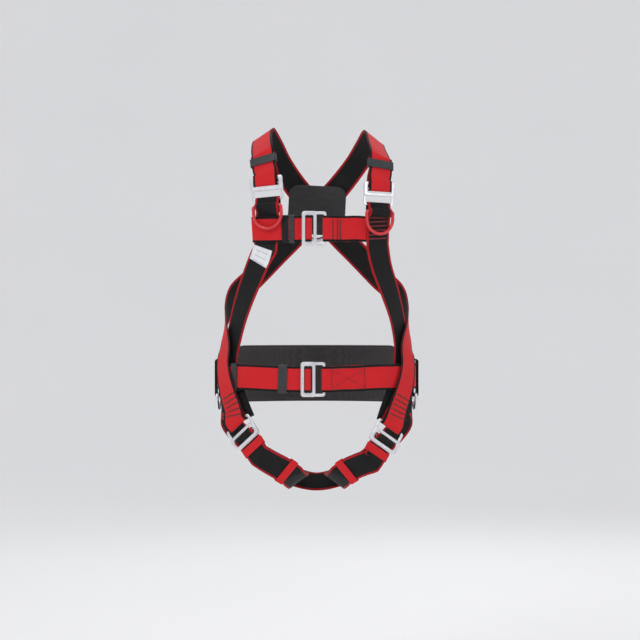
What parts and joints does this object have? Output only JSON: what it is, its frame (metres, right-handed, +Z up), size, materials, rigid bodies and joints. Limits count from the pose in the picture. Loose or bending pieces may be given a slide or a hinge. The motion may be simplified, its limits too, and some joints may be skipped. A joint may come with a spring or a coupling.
{
  "type": "full body safety harness",
  "caption": "Fall arrest harness of red and black webbing in its worn shape, with shoulder, chest, waist and leg buckles, a work belt, a back pad and attachment rings",
  "frame": {"origin": "centre of the wearer's torso at the height of the waist belt", "axes": "+Z up the body, -Y out of the wearer's front, -X to the wearer's right"},
  "size_m": [0.3668, 0.2777, 0.6619],
  "materials": {
    "webbing_red": "woven polyester webbing, red with black edges",
    "webbing_black": "woven polyester webbing, black with red edges",
    "pad_fabric": "black woven cover over foam",
    "elastic": "ribbed elastic",
    "keeper_plastic": "dark grey moulded plastic",
    "ring_coating": "glossy red coating on steel",
    "label": "white woven label",
    "steel": "zinc plated steel"
  },
  "bodies": {
    "webbing": {"shoulder_strap_right": "webbing_red", "shoulder_strap_left": "webbing_red", "back_strap_right": "webbing_red", "back_strap_left": "webbing_red", "front_strap_right": "webbing_black", "front_strap_left": "webbing_black", "leg_strap_right": "webbing_black", "leg_strap_left": "webbing_black", "seat_strap": "webbing_black", "chest_strap_right": "webbing_red", "chest_strap_left": "webbing_red", "waist_belt_right": "webbing_red", "waist_belt_left": "webbing_red", "lumbar_pad": "pad_fabric", "shoulder_frame_right": "steel", "shoulder_frame_left": "steel", "chest_frame": "steel", "waist_frame": "steel", "leg_frame_right": "steel", "leg_frame_left": "steel", "chest_elastic": "elastic", "waist_keeper_side": "keeper_plastic", "leg_band_upper_right": "webbing_red", "leg_band_upper_left": "webbing_red", "dorsal_plate": "keeper_plastic", "dorsal_patch": "webbing_black", "dorsal_loop": "webbing_black", "side_hanger_right": "webbing_black", "side_hanger_left": "webbing_black", "strap_label": "label"},
    "shoulder_plate_right": {"shoulder_plate_right": "steel"},
    "shoulder_bar_right": {"shoulder_bar_right": "steel"},
    "shoulder_plate_left": {"shoulder_plate_left": "steel"},
    "shoulder_bar_left": {"shoulder_bar_left": "steel"},
    "chest_plate": {"chest_plate": "steel"},
    "chest_bar": {"chest_bar": "steel"},
    "waist_plate": {"waist_plate": "steel"},
    "waist_bar": {"waist_bar": "steel"},
    "leg_plate_right": {"leg_plate_right": "steel"},
    "leg_bar_right": {"leg_bar_right": "steel"},
    "leg_plate_left": {"leg_plate_left": "steel"},
    "leg_bar_left": {"leg_bar_left": "steel"},
    "dorsal_ring": {"dorsal_ring": "steel"},
    "chest_ring_right": {"chest_ring_right": "ring_coating"},
    "chest_ring_left": {"chest_ring_left": "ring_coating"},
    "side_ring_right": {"side_ring_right": "steel"},
    "side_ring_left": {"side_ring_left": "steel"},
    "shoulder_keeper_right": {"shoulder_keeper_right": "keeper_plastic"},
    "shoulder_keeper_left": {"shoulder_keeper_left": "keeper_plastic"},
    "chest_keeper": {"chest_keeper": "keeper_plastic"},
    "waist_keeper_front": {"waist_keeper_front": "keeper_plastic"},
    "leg_band_mid_right": {"leg_band_mid_right": "webbing_red"},
    "leg_band_mid_left": {"leg_band_mid_left": "webbing_red"}
  },
  "joints": [
    {"name": "shoulder_plate_right_rock", "type": "hinge", "parent": "webbing", "child": "shoulder_plate_right", "pos_m": [-0.088, -0.11637, 0.338], "axis": [-0.9312, 0.3568, -0.0745], "range_deg": [-2.5, 2.5]},
    {"name": "shoulder_bar_right_slide", "type": "slide", "parent": "shoulder_plate_right", "child": "shoulder_bar_right", "axis": [0.0696, -0.0267, -0.9972], "range_m": [-0.002, 0.0004]},
    {"name": "shoulder_plate_left_rock", "type": "hinge", "parent": "webbing", "child": "shoulder_plate_left", "pos_m": [0.11, -0.10672, 0.329], "axis": [-0.8861, -0.4627, 0.0266], "range_deg": [-2.5, 2.5]},
    {"name": "shoulder_bar_left_slide", "type": "slide", "parent": "shoulder_plate_left", "child": "shoulder_bar_left", "axis": [-0.0236, -0.0123, -0.9996], "range_m": [-0.002, 0.0004]},
    {"name": "chest_plate_rock", "type": "hinge", "parent": "webbing", "child": "chest_plate", "pos_m": [-0.0125, -0.12942, 0.259], "axis": [0, 0, -1], "range_deg": [-2.5, 2.5]},
    {"name": "chest_bar_slide", "type": "slide", "parent": "chest_plate", "child": "chest_bar", "axis": [0.9989, -0.0474, 0], "range_m": [-0.002, 0.0004]},
    {"name": "waist_plate_rock", "type": "hinge", "parent": "webbing", "child": "waist_plate", "pos_m": [-0.0145, -0.1199, -0.003], "axis": [0, 0, -1], "range_deg": [-2.5, 2.5]},
    {"name": "waist_bar_slide", "type": "slide", "parent": "waist_plate", "child": "waist_bar", "axis": [0.9985, -0.055, 0], "range_m": [-0.002, 0.0004]},
    {"name": "leg_plate_right_rock", "type": "hinge", "parent": "webbing", "child": "leg_plate_right", "pos_m": [-0.127, -0.08708, -0.104], "axis": [0.6523, -0.4287, 0.6251], "range_deg": [-2.5, 2.5]},
    {"name": "leg_bar_right_slide", "type": "slide", "parent": "leg_plate_right", "child": "leg_bar_right", "axis": [-0.5224, 0.3433, 0.7805], "range_m": [-0.002, 0.0004]},
    {"name": "leg_plate_left_rock", "type": "hinge", "parent": "webbing", "child": "leg_plate_left", "pos_m": [0.12, -0.09102, -0.111], "axis": [0.7294, 0.431, -0.5313], "range_deg": [-2.5, 2.5]},
    {"name": "leg_bar_left_slide", "type": "slide", "parent": "leg_plate_left", "child": "leg_bar_left", "axis": [0.4574, 0.2703, 0.8472], "range_m": [-0.002, 0.0004]},
    {"name": "dorsal_ring_swing", "type": "hinge", "parent": "webbing", "child": "dorsal_ring", "pos_m": [0, 0.13677, 0.303], "axis": [1, 0, 0], "range_deg": [0, 160]},
    {"name": "chest_ring_right_swing", "type": "hinge", "parent": "webbing", "child": "chest_ring_right", "pos_m": [-0.08643, -0.1204, 0.29911], "axis": [-0.9312, 0.3568, -0.0745], "range_deg": [0, 150]},
    {"name": "chest_ring_left_swing", "type": "hinge", "parent": "webbing", "child": "chest_ring_left", "pos_m": [0.11056, -0.11003, 0.29001], "axis": [-0.8861, -0.4627, 0.0266], "range_deg": [0, 150]},
    {"name": "side_ring_right_swing", "type": "hinge", "parent": "webbing", "child": "side_ring_right", "pos_m": [-0.17694, 0.00631, -0.033], "axis": [0.0828, 0.9966, 0], "range_deg": [0, 140]},
    {"name": "side_ring_left_swing", "type": "hinge", "parent": "webbing", "child": "side_ring_left", "pos_m": [0.17694, 0.00631, -0.033], "axis": [0.0828, -0.9966, 0], "range_deg": [0, 140]},
    {"name": "shoulder_keeper_right_slide", "type": "slide", "parent": "webbing", "child": "shoulder_keeper_right", "axis": [0.1106, -0.3571, -0.9275], "range_m": [-0.002, 0.002]},
    {"name": "shoulder_keeper_left_slide", "type": "slide", "parent": "webbing", "child": "shoulder_keeper_left", "axis": [0, -0.2569, -0.9664], "range_m": [-0.002, 0.002]},
    {"name": "chest_keeper_slide", "type": "slide", "parent": "webbing", "child": "chest_keeper", "axis": [0.9909, -0.1345, 0], "range_m": [-0.001, 0.001]},
    {"name": "waist_keeper_front_slide", "type": "slide", "parent": "webbing", "child": "waist_keeper_front", "axis": [0.9712, -0.2363, -0.0304], "range_m": [-0.005, 0.005]},
    {"name": "leg_band_mid_right_slide", "type": "slide", "parent": "webbing", "child": "leg_band_mid_right", "axis": [-0.7326, -0.4579, 0.5037], "range_m": [-0.003, 0.003]},
    {"name": "leg_band_mid_left_slide", "type": "slide", "parent": "webbing", "child": "leg_band_mid_left", "axis": [0.7326, -0.4579, 0.5037], "range_m": [-0.003, 0.003]}
  ]
}
